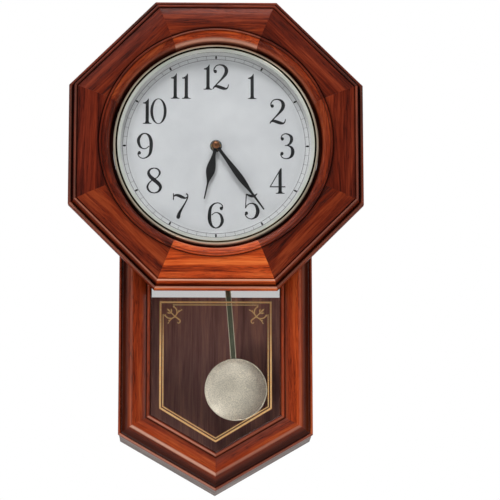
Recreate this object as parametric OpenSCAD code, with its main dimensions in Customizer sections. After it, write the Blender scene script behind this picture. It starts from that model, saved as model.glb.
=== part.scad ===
// Pendulum wall clock with an octagonal head and a V-bottomed lower case.
// X points right, Z points up and -Y points out from the wall, which is y = 0.
// The origin is the centre of the keyhole in the hanger plate. Millimetres.

/* [Head] */
// Width of the octagonal head across its flats
head_w = 362; // [358:1:366]
// Distance from the wall to the back of the head
head_y = 90; // [88:1:94]
// Thickness of the head rails, back to face
head_t = 28; // [27:0.5:30]
// Radius of the bore that holds the dial and bezel
bore_r = 126.5; // [126:0.5:127]
// Height of the hanger keyhole above the dial centre
hang_h = 104; // [100:1:106]

/* [Lower case] */
// Width of the lower frame
low_w = 236; // [230:1:240]
// Distance from the wall to the back of the lower frame
low_y = 70; // [68:1:72]
// Drop from the dial centre to the lower frame's side corners
corner_drop = 355; // [345:1:365]
// Slope of the V-shaped bottom
vee = 30; // [26:1:34]
// Width of the lower frame's rails
rail_w = 40; // [38:1:42]
// Thickness of the case boards
board_t = 10; // [8:1:10]
// Drop from the dial centre to the top edge of the back panel
panel_drop = 174; // [172:1:190]

/* [Dial and hands] */
// Length of the minute hand
minute_len = 100; // [90:1:108]
// Length of the hour hand
hour_len = 69; // [60:1:80]
// Time shown, in minutes past twelve
shown_min = 384; // [0:1:719]
// Radius of the hub of each hand
hub_r = 5; // [4:0.5:6]

/* [Movement] */
// Module of the minute pinion and minute wheel
mod_a = 0.5; // [0.5]
// Module of the hour pinion and hour wheel
mod_b = 0.48; // [0.48]
// Radial running clearance of each arbor
run = 0.05; // [0.03:0.01:0.08]

/* [Pendulum] */
// Height of the pendulum pivot above the dial centre
pivot_h = 24; // [22:1:26]
// Pivot to bob centre
pend_len = 321.6; // [300:0.1:330]
// Radius of the bob
bob_r = 38.5; // [34:0.5:42]
// Swing angle at which the pendulum is drawn, bob to the right
swing = 4.5; // [-6:0.5:6]

/* [Hidden] */
$fn = 96;
eps = 0.01;

head_r = head_w / 2;
trunk_in = 1;                       // the boards stand this far inside the lower frame
step_z = -118;                      // the lower frame stops here, behind the head
board_top = 128;
edge_y = -1.5;                      // back edges of the case boards
dial_y = -head_y - 1;               // front of the dial plate
dial_board_t = 6;
case_y = -head_y + dial_board_t;    // front of the movement case
case_t = 24;
case_wall = 1.6;
inner_y = case_y + case_wall;       // inside of the movement's front wall
cover_y = case_y + case_t;          // front of the movement cover
cover_t = 2;
bay_z = -38;                        // bottom of the geared part of the movement
arbor_r = 1.5;
pivot_r = 1;
tube_r = 2.5;
bush_r = 4;
gear_gap = 12;                      // arbor to minute-wheel arbor
pin_r = 1.5;
rod_y = cover_y + 12.3;             // middle plane of the pendulum rod
rod_t = 1;
rod_w = 7;
glass_y = -low_y - 7;               // front of the lower glass
rabbet = 6;                         // width of the lower glass rabbet
keyhole_r = 4.5;
slot_r = 2.25;
plate_t = 1.5;

// ---------- helpers ----------

// Moves to the dial axis on the wall plane
module at_dial() translate([0, 0, -hang_h]) children();

// Extrudes an outline drawn in (x, z) from y0 back to y1
module slab(y0, y1) translate([0, y1, 0]) rotate([90, 0, 0]) linear_extrude(y1 - y0) children();

// Turns a profile drawn in (radius, forward) about the Y axis through (x, z)
module turned(y, x = 0, z = 0)
    translate([x, y, z]) rotate([90, 0, 0]) rotate_extrude() children();

// A rod along Y, from y0 back to y1
module rod(r, y0, y1, x = 0, z = 0)
    translate([x, y1, z]) rotate([90, 0, 0]) cylinder(r = r, h = y1 - y0);

// Points of an elliptical arc from angle a0 to a1
function arc(cx, cy, rx, ry, a0, a1, n = 8) =
    [for (i = [0:n]) let (a = a0 + (a1 - a0) * i / n) [cx + rx * cos(a), cy + ry * sin(a)]];

// Corner points of a rectangle from (x0, z0) to (x1, z1) with corners of radius r
function rounded(x0, z0, x1, z1, r) = concat(
    arc(x1 - r, z1 - r, r, r, 0, 90, 5), arc(x0 + r, z1 - r, r, r, 90, 180, 5),
    arc(x0 + r, z0 + r, r, r, 180, 270, 5), arc(x1 - r, z0 + r, r, r, 270, 360, 5));

// Lower-case outline, drawn in from the frame's edge by inset
function half_w(inset) = low_w / 2 - inset;
function apex_z(inset) = -corner_drop - low_w / 2 * tan(vee) + inset / cos(vee);
function slope_z(inset, x) = apex_z(inset) + abs(x) * tan(vee);
function corner_z(inset) = slope_z(inset, half_w(inset));
function vee_outline(inset, top) = [
    [-half_w(inset), top], [-half_w(inset), corner_z(inset)], [0, apex_z(inset)],
    [half_w(inset), corner_z(inset)], [half_w(inset), top]];

// Left upright strip of that outline between two insets
function upright(out, in, top) = [
    [-half_w(out), top], [-half_w(out), corner_z(out)],
    [-half_w(in), corner_z(in)], [-half_w(in), top]];

// Left sloping strip of that outline between two insets
function sloping(out, in) = [
    [-half_w(out), corner_z(out)], [0, apex_z(out)],
    [0, apex_z(in)], [-half_w(in), corner_z(in)]];

// Countersunk screw along Y with its head at y0, pointing towards +Y or -Y
module screw(r, len, head_r, y0, dir, x, z)
    translate([x, y0, z]) rotate([90 * -dir, 0, 0]) rotate_extrude()
        polygon([[0, 0], [head_r, 0], [r, head_r - r], [r, len - r], [0, len]]);

// ---------- head ----------

// Rail section: distance out from the dial centre, distance forward
function head_section() =
    let (bead_r = 2.4, crest_r = 1.7, cove_top = 21, quirk = 0.6, face_edge = 4.4,
         groove = head_r - 2 * bead_r, crest = groove - bead_r, flat_r = 146,
         face_r = crest - 2 * crest_r - 2 * quirk, bead_d = 9.6)
    concat(
        [[bore_r * 0.85, 0], [head_r, 0]],
        arc(head_r - bead_r, bead_d, bead_r, bead_r, 0, 180),
        arc(groove, cove_top, bead_r, cove_top - bead_d + quirk, 270, 180),
        arc(crest - crest_r, cove_top + 1.6, crest_r, crest_r, 0, 180),
        [[face_r + quirk, cove_top + 1.6]],
        [for (i = [0:10]) [face_r + (flat_r - face_r) * i / 10,
                           head_t - face_edge + face_edge * sin(9 * i)]],
        [[bore_r * 0.85, head_t]]);

// Turned moulding that runs round the bore, and the bore itself
function bore_section() =
    let (ledge = 3.2, ovolo_r0 = 130.3, ovolo_r1 = 140.3, ovolo_d = 10.5, bead_r = 1.5,
         ovolo_h = head_t - bead_r - 0.2 - ovolo_d, far = head_t + 3)
    concat(
        [[0, -1], [bore_r, -1], [bore_r, ledge], [ovolo_r0, ledge]],
        arc(ovolo_r1, ovolo_d, ovolo_r1 - ovolo_r0, ovolo_h, 180, 90, 12),
        arc(ovolo_r1 + bead_r, head_t - bead_r, bead_r, bead_r, 180, 0),
        [[ovolo_r1 + 2 * bead_r + 0.4, head_t - bead_r - 0.2],
         [ovolo_r1 + 2 * bead_r + 1.1, head_t], [ovolo_r1 + 2 * bead_r + 1.1, far], [0, far]]);

// One of the eight mitred rails, k eighths of a turn clockwise from the top
module head_rail(k) {
    far = head_w;
    at_dial() rotate([0, 45 * k, 0]) difference() {
        intersection() {
            translate([0, -head_y, 0]) rotate(180, [1, 0, 1])
                linear_extrude(head_w, center = true) polygon(head_section());
            slab(-head_y - head_t - 5, -head_y + 5)
                polygon([[0, 0], [far * tan(22.5), far], [-far * tan(22.5), far]]);
        }
        turned(-head_y) polygon(bore_section());
        if (k % 2 == 1) {
            bezel_pin();
            rotate([0, -45 * k, 0]) dial_board_screw_set();
        }
    }
}

module head_rail_top() color("#8a3524") head_rail(0);
module head_rail_top_right() color("#6e241c") head_rail(1);
module head_rail_right() color("#64201a") head_rail(2);
module head_rail_bottom_right() color("#6e241c") head_rail(3);
module head_rail_bottom() color("#8f3a26") head_rail(4);
module head_rail_bottom_left() color("#6e241c") head_rail(5);
module head_rail_left() color("#64201a") head_rail(6);
module head_rail_top_left() color("#6e241c") head_rail(7);

// ---------- case ----------

board_in = trunk_in + board_t;      // inset of the boards' inner faces
rebate_in = trunk_in + board_t / 2; // inset of the back rebate
rebate_y = -6;

module case_rebate() slab(rebate_y, 1) polygon(vee_outline(rebate_in, board_top + 1));

module side_board() at_dial() difference() {
    slab(-head_y, edge_y) polygon(upright(trunk_in, board_in, board_top));
    slab(-head_y - 1, -low_y)
        polygon([[-low_w, step_z], [0, step_z], [0, -2 * low_w], [-low_w, -2 * low_w]]);
    case_rebate();
    panel_screw_set();
}

module side_board_left() color("#5c1f16") side_board();
module side_board_right() color("#5c1f16") mirror([1, 0, 0]) side_board();

module top_board() color("#5c1f16") at_dial() slab(-head_y, edge_y)
    polygon([[-half_w(board_in), board_top - board_t], [half_w(board_in), board_top - board_t],
             [half_w(board_in), board_top], [-half_w(board_in), board_top]]);

module bottom_board() at_dial() difference() {
    slab(-low_y, edge_y) polygon(sloping(trunk_in, board_in));
    case_rebate();
    panel_screw_set();
}

module bottom_board_left() color("#6b2417") bottom_board();
module bottom_board_right() color("#6b2417") mirror([1, 0, 0]) bottom_board();

panel_front = rebate_y;
panel_back = rebate_y + 4;

module back_panel() color("#3f2620") at_dial() difference() {
    slab(panel_front, panel_back) polygon(vee_outline(rebate_in + 0.2, -panel_drop));
    panel_screw_set();
}

// The panel's screws sit in the middle of the rebate, three to a side
module panel_screw_set() {
    line = rebate_in + board_t / 4;
    slope_x = half_w(line) / 2;
    for (side = [-1, 1]) {
        for (z = [-190, -corner_drop + 35])
            screw(1.2, 14, 2.4, panel_back, -1, side * half_w(line), z);
        screw(1.2, 12, 2.4, panel_back, -1, side * slope_x, slope_z(line, slope_x));
    }
}

module back_panel_screws() color("#8c8a84") at_dial() panel_screw_set();

module wall_bumpers() color("#2a2a2a") at_dial()
    for (side = [-1, 1]) rod(8, panel_back, 0, side * 84, -corner_drop + 8);

// Triangular blocks glued into the corner between the case and the head
module glue_blocks() color("#7a4a30") at_dial() {
    leg = 14;
    long = 60;
    for (side = [-1, 1], z = [30, -90])
        translate([side * half_w(trunk_in), -head_y, z]) mirror([side < 0 ? 1 : 0, 0, 0])
            linear_extrude(long) polygon([[0, 0], [leg, 0], [0, leg]]);
    for (x = [-70, 10])
        translate([x, -head_y, board_top]) rotate([90, 0, 90])
            linear_extrude(long) polygon([[0, 0], [leg, 0], [0, leg]]);
}

hanger_z0 = 90;
hanger_z1 = board_top - board_t;
hanger_front = -14;
plate_half = 20;

module plate_screw_set() for (side = [-1, 1])
    screw(1.5, 11, 3, 0, -1, side * 14, hang_h);

// Cross rail let into the case sides, hollowed behind the keyhole
module hanger_rail() color("#7a4a30") at_dial() difference() {
    union() {
        slab(hanger_front, rebate_y)
            polygon([[-half_w(board_in), hanger_z0], [half_w(board_in), hanger_z0],
                     [half_w(board_in), hanger_z1], [-half_w(board_in), hanger_z1]]);
        slab(rebate_y, edge_y)
            polygon([[-half_w(rebate_in), hanger_z0], [half_w(rebate_in), hanger_z0],
                     [half_w(rebate_in), hanger_z1], [-half_w(rebate_in), hanger_z1]]);
    }
    slab(-11.5, 1) polygon(rounded(-7, hang_h - 7, 7, hang_h + 12, 3));
    plate_screw_set();
}

// Steel plate whose keyhole hangs on the wall screw
module hanger_plate() color("#b9b6ae") at_dial() difference() {
    slab(-plate_t, 0)
        polygon(rounded(-plate_half, hang_h - 10, plate_half, hanger_z1 - 0.5, 3));
    rod(keyhole_r, -plate_t - 1, 1, 0, hang_h);
    rod(slot_r, -plate_t - 1, 1, 0, hang_h + 8);
    slab(-plate_t - 1, 1) polygon([[-slot_r, hang_h], [slot_r, hang_h],
                                   [slot_r, hang_h + 8], [-slot_r, hang_h + 8]]);
    plate_screw_set();
}

module hanger_screws() color("#8c8a84") at_dial() plate_screw_set();

// ---------- lower frame ----------

// Rail section: distance in from the outer edge, distance forward
function frame_section() =
    let (bead_r = 1.6, side_d = 5, sweep_u = 3.2, sweep_d = 4.6, crest_u = 16.5, crest_d = 18,
         fall_u = rail_w - 6.5, fall_d = 13, lip_r = 3, lip_d = 12)
    concat(
        [[0, 0], [0, side_d]],
        arc(bead_r, side_d, bead_r, bead_r, 180, 0, 6),
        [for (i = [0:12]) [sweep_u + (crest_u - sweep_u) * i / 12,
                           sweep_d + (crest_d - sweep_d) * (1 - cos(15 * i)) / 2]],
        [for (i = [1:8]) [crest_u + (fall_u - crest_u) * i / 8,
                          fall_d + (crest_d - fall_d) * cos(90 * i / 8)]],
        [[fall_u + 0.3, lip_d]],
        arc(rail_w - lip_r, lip_d, lip_r, lip_r, 180, 0),
        [[rail_w, 7], [rail_w - rabbet, 7], [rail_w - rabbet, 0]]);

// A long rail along Z with its outer edge on x = 0
module frame_bar() linear_extrude(2 * low_w, center = true)
    polygon([for (p = frame_section()) [p.x, -low_y - p.y]]);

module frame_clip() slab(-low_y - 30, -low_y + 10) children();

module frame_stile() at_dial() intersection() {
    translate([-half_w(0), 0, -low_w]) frame_bar();
    frame_clip() polygon(upright(-5, rail_w + 5, step_z));
}

module frame_v_rail() at_dial() intersection() {
    translate([-half_w(0), 0, corner_z(0)]) rotate([0, vee - 90, 0]) frame_bar();
    frame_clip() polygon(sloping(-5, rail_w + 5));
}

module frame_stile_left() color("#7d3420") frame_stile();
module frame_stile_right() color("#7d3420") mirror([1, 0, 0]) frame_stile();
module frame_v_rail_left() color("#8a3a22") frame_v_rail();
module frame_v_rail_right() color("#8a3a22") mirror([1, 0, 0]) frame_v_rail();

sight_top = -172;
glass_top = sight_top + rabbet - 0.5;

module frame_top_rail() color("#7d3420") at_dial() {
    w = half_w(rail_w);
    difference() {
        slab(-low_y - 10, -low_y)
            polygon([[-w, sight_top], [w, sight_top], [w, step_z], [-w, step_z]]);
        slab(-low_y - 7, -low_y + 1)
            polygon([[-w - 1, sight_top - 1], [w + 1, sight_top - 1],
                     [w + 1, sight_top + rabbet], [-w - 1, sight_top + rabbet]]);
    }
}

module lower_glass() color("#cfe0e0", 0.35) at_dial()
    slab(glass_y, glass_y + 2) polygon(vee_outline(rail_w - rabbet + 0.5, glass_top));

// Five loose strips that hold the glass in its rabbet
module glass_beads() color("#5c1f16") at_dial() slab(glass_y + 2, -low_y) {
    out = rail_w - rabbet + 0.2;
    in = rail_w - 0.2;
    gap = 0.3;
    for (side = [0, 1]) mirror([side, 0]) {
        translate([0, gap]) polygon(upright(out, in, sight_top - gap));
        intersection() {
            polygon(sloping(out, in));
            translate([-low_w - gap, -2 * low_w]) square([low_w, 2 * low_w]);
        }
    }
    translate([-half_w(out), sight_top + gap])
        square([2 * half_w(out), rabbet - 3 * gap]);
}

// ---------- dial ----------

module dial_board_screw_set() for (sx = [-1, 1], sz = [-1, 1])
    screw(1.6, 16, 3.2, -head_y + dial_board_t, -1, sx * 95, sz * 100);

module dial_board() color("#a5835a") at_dial() difference() {
    slab(-head_y, -head_y + dial_board_t)
        polygon([[-half_w(board_in), step_z + 1], [half_w(board_in), step_z + 1],
                 [half_w(board_in), board_top - board_t],
                 [-half_w(board_in), board_top - board_t]]);
    rod(bush_r + 0.2, -head_y - 1, 0);
    dial_board_screw_set();
}

module dial_board_screws() color("#8c8a84") at_dial() dial_board_screw_set();

module dial_plate() color("#d4d6d6") at_dial() difference() {
    rod(bore_r - 0.3, dial_y, -head_y);
    rod(bush_r + 0.2, dial_y - 1, 0);
}

bezel_r = bore_r - 0.2;
pane_r = bezel_r - 6.4;
pane_d = 11.2;                      // front edge of the domed glass
pane_t = 2;

// Brass ring: a low crowned band with a rounded outer edge and a lip over the glass
module bezel() color("#d8bf86") at_dial() {
    edge_r = 0.8;
    edge_d = pane_d + 0.2;
    band_r = 4;
    band_c = (bezel_r + pane_r) / 2 + 0.5;
    band_d = pane_d - 2.1;
    lip = 2.7;
    difference() {
        turned(-head_y) polygon(concat(
            [[bezel_r - 1.2, 1], [bezel_r, 1]],
            arc(bezel_r - edge_r, edge_d, edge_r, edge_r, 0, 55, 3),
            arc(band_c, band_d, band_r, band_r, 62, 130, 10),
            [[pane_r - lip, pane_d + 0.9], [pane_r - lip, pane_d + 0.4],
             [pane_r + 0.3, pane_d + 0.4], [pane_r + 0.3, 6], [bezel_r - 1.2, 6]]));
        for (k = [1:2:7]) rotate([0, 45 * k, 0]) bezel_pin();
    }
}

// Pin through the bezel's skirt into the wood, straight up from the dial centre
module bezel_pin() {
    z0 = bezel_r - 2;
    translate([0, -head_y - 2.05, z0]) cylinder(r = 0.8, h = 10);
}

module bezel_pins() color("#b89c5c") at_dial()
    for (k = [1:2:7]) rotate([0, 45 * k, 0]) bezel_pin();

module dial_glass() color("#dfe8e8", 0.3) at_dial() {
    rise = 6;
    n = 12;
    turned(-head_y) polygon(concat(
        [for (i = [0:n]) [pane_r * i / n, pane_d + rise * (1 - pow(i / n, 2))]],
        [for (i = [n:-1:0]) [pane_r * i / n, pane_d - pane_t + rise * (1 - pow(i / n, 2))]]));
}

module glass_gasket() color("#303030") at_dial() turned(-head_y)
    polygon([[pane_r - 2, pane_d - pane_t - 2], [pane_r + 0.3, pane_d - pane_t - 2],
             [pane_r + 0.3, pane_d - pane_t], [pane_r - 2, pane_d - pane_t]]);

// ---------- hands ----------

hour_y = dial_y - 3.8;              // front of the hour hand
minute_y = dial_y - 6.2;            // front of the minute hand
hand_t = 0.6;

// Half width at height z, eased between stations [height, half width]
function eased(s, z) = let (i = max([for (k = [0:len(s) - 2]) s[k].x <= z ? k : 0]),
    t = (z - s[i].x) / (s[i + 1].x - s[i].x)) s[i].y + (s[i + 1].y - s[i].y) * (1 - cos(180 * t)) / 2;

// Hand blade along +Z with its widest part between a narrow neck and a thin tip
module blade(s) {
    n = 28;
    z0 = s[0].x;
    z1 = s[len(s) - 1].x;
    right = [for (i = [0:n]) let (z = z0 + (z1 - z0) * i / n) [eased(s, z), z]];
    polygon(concat(right, [for (i = [n:-1:0]) [-right[i].x, right[i].y]]));
}

module hour_hand() color("#1c1917") at_dial() rotate([0, shown_min / 2, 0]) difference() {
    slab(hour_y, hour_y + hand_t) {
        blade([[3, 2.2], [9, 2], [hour_len * 0.45, 5.6], [hour_len * 0.74, 1], [hour_len, 0.8]]);
        circle(hub_r);
    }
    rod(tube_r, hour_y - 1, hour_y + 2);
}

module minute_hand() color("#1c1917") at_dial() rotate([0, shown_min * 6, 0]) difference() {
    slab(minute_y, minute_y + hand_t) {
        blade([[3, 2.2], [10, 2], [minute_len * 0.51, 3.8], [minute_len * 0.78, 1.4],
               [minute_len, 1]]);
        circle(hub_r);
    }
    rod(arbor_r, minute_y - 1, minute_y + 2);
}

module hand_nut() color("#a8854a") at_dial() difference() {
    turned(minute_y) polygon(concat(
        [[0, 0], [4.6, 0]], arc(3.8, 0.8, 0.8, 0.8, 0, 70, 4), arc(0, 1.4, 3.2, 1.1, 0, 90, 6)));
    rod(arbor_r, minute_y - 1.6, minute_y + 1);
}

// ---------- motion work ----------

// Outline of a gear with straight-flanked teeth, one centred on +X
function gear(teeth, mod) = let (r = teeth * mod / 2, step = 360 / teeth)
    [for (i = [0:teeth - 1], p = [[-1.2, -0.27], [0, -0.17], [0.85, -0.08],
                                  [0.85, 0.08], [0, 0.17], [-1.2, 0.27]])
        let (a = (i + p.y) * step) (r + p.x * mod) * [cos(a), sin(a)]];

wheel_y = inner_y + 4.4;            // front of the minute wheel
hour_wheel_y = inner_y + 1.2;       // front of the hour wheel

module minute_arbor() color("#c8a659") at_dial() {
    rod(arbor_r, minute_y - 1.6, cover_y - 1.5);
    rod(pivot_r, cover_y - 1.6, cover_y + cover_t - 0.5);
    slab(wheel_y - 0.4, wheel_y + 2.2) polygon(gear(12, mod_a));
    rod(2.6, wheel_y + 2.2, wheel_y + 6);
}

module hour_wheel() color("#e8e4d8") at_dial() difference() {
    union() {
        slab(hour_wheel_y, hour_wheel_y + 1.4) rotate(4.5) polygon(gear(40, mod_b));
        rod(tube_r, hour_y - 0.4, hour_wheel_y + 1.4);
        rod(4.2, hour_wheel_y + 1.3, hour_wheel_y + 2.2);
    }
    rod(arbor_r + run, hour_y - 1, hour_wheel_y + 5);
}

module minute_wheel() color("#e8e4d8") at_dial() translate([-gear_gap, 0, 0]) {
    slab(wheel_y, wheel_y + 1.6) rotate(5) polygon(gear(36, mod_a));
    slab(hour_wheel_y - 0.4, wheel_y + 0.1) polygon(gear(10, mod_b));
    rod(pivot_r, case_y + 0.6, cover_y + cover_t + 4);
    rod(2.2, wheel_y + 1.5, wheel_y + 5);
}

module set_knob() color("#e9e9e4") at_dial() translate([-gear_gap, 0, 0]) difference() {
    y0 = cover_y + cover_t + 0.8;
    union() {
        rod(8, y0, y0 + 4);
        rod(3, y0 - 0.3, y0 + 1);
    }
    rod(pivot_r, y0 - 2, cover_y + cover_t + 4);
    for (i = [0:17]) rotate([0, 20 * i, 0]) rod(0.8, y0 - 1, y0 + 5, 8.3, 0);
}

// ---------- movement ----------

case_x = 30;
case_z0 = -62;
case_z1 = 34;
boss_spots = [for (sx = [-1, 1], z = [case_z1 - 4.5, bay_z + 4.5]) [sx * (case_x - 4.5), z]];
coil_z = -26;
motor_z = 21;
cell_z = (case_z0 + bay_z) / 2 + 0.6;
cell_y = inner_y + 13.2;
cell_r = 7.25;
cell_half = 25.25;

module cover_screw_set() for (p = boss_spots)
    screw(0.9, 9, 1.9, cover_y + cover_t, -1, p.x, p.y);

module movement_case() color("#34353a") at_dial() difference() {
    union() {
        difference() {
            slab(case_y, cover_y) polygon(rounded(-case_x, case_z0, case_x, case_z1, 4));
            slab(inner_y, cover_y + 1) {
                w = case_x - case_wall;
                polygon(rounded(-w, bay_z + case_wall, w, case_z1 - case_wall, 2.4));
                polygon(rounded(-w, case_z0 + case_wall, w, bay_z, 2.4));
            }
        }
        for (p = boss_spots) rod(2.4, inner_y - eps, cover_y, p.x, p.y);
        for (sx = [-1, 1]) {
            translate([sx * 9.5 - 0.6, inner_y - eps, motor_z - 5])
                cube([1.2, cell_y - inner_y - 5.5, 10]);
            translate([sx * 15 - 1, inner_y - eps, case_z0 + 1])
                cube([2, cell_y - inner_y - 2, bay_z - case_z0 - 0.5]);
        }
        rod(3, inner_y - eps, cover_y - 7, 0, coil_z);
        for (z = [-9, 9]) rod(1.6, inner_y - eps, cover_y - 6, 23, z);
    }
    rod(bush_r, case_y - 1, inner_y + 1);
    rod(pivot_r + run, case_y + 0.5, inner_y + 1, -gear_gap, 0);
    translate([-cell_half, cell_y, cell_z]) rotate([0, 90, 0])
        cylinder(r = cell_r, h = 2 * cell_half);
    cover_screw_set();
}

module movement_cover() color("#2c2d31") at_dial() difference() {
    union() {
        slab(cover_y, cover_y + cover_t)
            polygon(rounded(-case_x, bay_z, case_x, case_z1, 4));
        rod(4.5, cover_y + cover_t - eps, cover_y + 7, 0, pivot_h);
    }
    rod(pivot_r + run, cover_y - 1, cover_y + cover_t + 1);
    rod(pivot_r + run, cover_y - 1, cover_y + cover_t + 1, -gear_gap, 0);
    rod(pin_r, cover_y + 1, cover_y + 8, 0, pivot_h);
    cover_screw_set();
}

module movement_cover_screws() color("#9a9890") at_dial() cover_screw_set();

module movement_bush() color("#c8a659") at_dial() difference() {
    union() {
        rod(bush_r, dial_y - 2.7, inner_y);
        rod(6, inner_y, inner_y + 0.9);
    }
    rod(tube_r + run, dial_y - 4, inner_y + 2);
}

module bush_washer() color("#d8bf86") at_dial() difference() {
    rod(7.5, dial_y - 0.5, dial_y);
    rod(bush_r + 0.1, dial_y - 1, dial_y + 1);
}

module bush_nut() color("#c8a659") at_dial() difference() {
    slab(dial_y - 2.5, dial_y - 0.5) circle(6.3, $fn = 6);
    rod(bush_r, dial_y - 4, dial_y);
}

module circuit_board() color("#2d5a3c") at_dial() {
    slab(cover_y - 6, cover_y - 4.8) polygon([[6, -14], [27, -14], [27, 14], [6, 14]]);
    rod(4, cover_y - 4.9, cover_y - 3.6, 15, 0);
    rod(2, cover_y - 4.9, cover_y - 2.4, 22, -9);
}

module motor_coil() color("#b5652f") at_dial() translate([0, cell_y, motor_z])
    rotate([0, 90, 0]) rotate_extrude()
        polygon([[0, -10.2], [5.5, -10.2], [5.5, -9], [4.4, -9], [4.4, 9], [5.5, 9],
                 [5.5, 10.2], [0, 10.2]]);

module drive_coil() color("#b5652f") at_dial() difference() {
    rod(7, cover_y - 7, cover_y - 1, 0, coil_z);
    rod(2, cover_y - 8, cover_y + 1, 0, coil_z);
}

module battery() color("#7c8790") at_dial() translate([0, cell_y, cell_z])
    rotate([0, 90, 0]) rotate_extrude()
        polygon([[0, -cell_half], [cell_r - 1, -cell_half], [cell_r, 1 - cell_half],
                 [cell_r, cell_half - 2.4], [cell_r - 1, cell_half - 1.4],
                 [2.7, cell_half - 1.4], [2.7, cell_half], [0, cell_half]]);

module battery_contacts() color("#c9c9c4") at_dial() for (side = [-1, 1]) {
    w = case_x - case_wall;
    translate([side * (w - 0.25), cell_y, cell_z]) cube([0.5, 11, 12], center = true);
    translate([side * cell_half, cell_y, cell_z]) rotate([0, 90 * side, 0])
        cylinder(r = 3.2, h = w - cell_half - 0.4);
}

// ---------- pendulum ----------

// Draws the pendulum straight down from its pivot, then swings it
module on_pendulum() translate([0, 0, pivot_h - hang_h]) rotate([0, -swing, 0]) children();

rod_y0 = rod_y - rod_t / 2;
rod_y1 = rod_y + rod_t / 2;
rod_top = -12;
magnet_drop = pivot_h - coil_z;

module pendulum_pin() color("#b9b6ae") at_dial() {
    rod(pin_r, cover_y + 1, rod_y + 4.2, 0, pivot_h);
    rod(3, rod_y + 3.2, rod_y + 4.2, 0, pivot_h);
}

module pendulum_strip() slab(rod_y0, rod_y1)
    polygon([[-rod_w / 2, rod_top], [rod_w / 2, rod_top],
             [rod_w / 2, -pend_len - 26], [-rod_w / 2, -pend_len - 26]]);

module pendulum_hanger() color("#34353a") on_pendulum() difference() {
    union() {
        rod(5, rod_y - 2.5, rod_y + 2.5);
        slab(rod_y - 2, rod_y + 2) polygon([[-4, 0], [4, 0], [5, rod_top - 16], [-5, rod_top - 16]]);
    }
    rod(pin_r + run, rod_y - 5, rod_y + 5);
    pendulum_strip();
}

module pendulum_magnet() color("#6f7276") on_pendulum()
    rod(4.5, rod_y0 - 3, rod_y0, 0, -magnet_drop);

module pendulum_rod() color("#4a4f49") on_pendulum() pendulum_strip();

bob_y = rod_y0 - 0.8;               // back of the bob's rim

// Domed shell with a small rolled rim
module pendulum_bob() color("#bfb9ab") on_pendulum() {
    rim = 1.2;
    rise = 7.4;
    fall = 2.6;
    t = 0.8;
    in_r = bob_r - rim;
    n = 14;
    turned(bob_y, 0, -pend_len) polygon(concat(
        [[in_r, 0], [bob_r - 0.4, 0]],
        arc(bob_r - rim / 2, 0.7, rim / 2, rim / 2, -20, 130, 6),
        [for (i = [n:-1:0]) [in_r * i / n, t + rise * (1 - pow(i / n, fall))]],
        [for (i = [0:n - 1]) [in_r * i / n, rise * (1 - pow(i / n, fall))]]));
}

module bob_back() color("#8f8a7e") on_pendulum()
    rod(bob_r - 0.6, bob_y, bob_y + 0.8, 0, -pend_len);

module bob_clips() color("#b9b6ae") on_pendulum() difference() {
    for (dz = [-18, 18])
        slab(rod_y0, rod_y1 + 1)
            translate([-9, -pend_len + dz - 3]) square([18, 6]);
    pendulum_strip();
}

head_rail_top();
head_rail_top_right();
head_rail_right();
head_rail_bottom_right();
head_rail_bottom();
head_rail_bottom_left();
head_rail_left();
head_rail_top_left();
side_board_left();
side_board_right();
top_board();
bottom_board_left();
bottom_board_right();
back_panel();
back_panel_screws();
wall_bumpers();
glue_blocks();
hanger_rail();
hanger_plate();
hanger_screws();
frame_stile_left();
frame_stile_right();
frame_v_rail_left();
frame_v_rail_right();
frame_top_rail();
lower_glass();
glass_beads();
dial_board();
dial_board_screws();
dial_plate();
bezel();
bezel_pins();
dial_glass();
glass_gasket();
hour_hand();
minute_hand();
hand_nut();
minute_arbor();
hour_wheel();
minute_wheel();
set_knob();
movement_case();
movement_cover();
movement_cover_screws();
movement_bush();
bush_washer();
bush_nut();
circuit_board();
motor_coil();
drive_coil();
battery();
battery_contacts();
pendulum_pin();
pendulum_hanger();
pendulum_magnet();
pendulum_rod();
pendulum_bob();
bob_back();
bob_clips();
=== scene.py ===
import math

import bmesh
import bpy
from mathutils import Matrix, Vector
from mathutils.geometry import delaunay_2d_cdt


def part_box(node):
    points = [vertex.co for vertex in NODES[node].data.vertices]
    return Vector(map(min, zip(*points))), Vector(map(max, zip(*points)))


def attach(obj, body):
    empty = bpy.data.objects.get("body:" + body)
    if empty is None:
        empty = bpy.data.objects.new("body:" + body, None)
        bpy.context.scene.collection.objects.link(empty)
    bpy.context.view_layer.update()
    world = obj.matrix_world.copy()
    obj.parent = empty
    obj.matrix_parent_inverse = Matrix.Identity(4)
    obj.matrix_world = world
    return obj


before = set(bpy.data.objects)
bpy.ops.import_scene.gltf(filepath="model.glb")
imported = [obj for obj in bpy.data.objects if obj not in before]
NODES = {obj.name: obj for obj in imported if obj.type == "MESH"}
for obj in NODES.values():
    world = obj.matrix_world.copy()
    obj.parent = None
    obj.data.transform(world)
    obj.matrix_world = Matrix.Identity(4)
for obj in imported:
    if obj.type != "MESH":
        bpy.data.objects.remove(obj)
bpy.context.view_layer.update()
MM = 0.001
IMAGE_SIZE = 500


def middle(node):
    low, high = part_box(node)
    return (low + high) / 2


DIAL = middle("dial_plate")
DIAL_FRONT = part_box("dial_plate")[0].y
GLASS_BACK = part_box("lower_glass")[1].y


# ---------------------------------------------------------------- camera and stage

CAMERA_PLACE = Vector((-0.036, -3.203, -0.862))
CAMERA_PITCH = 11.40
CAMERA_YAW = 1.43
CAMERA_ROLL = -0.09
FOCAL_LENGTH = 2600
SENSOR = 36
FLOOR_Z = -1.5


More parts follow.
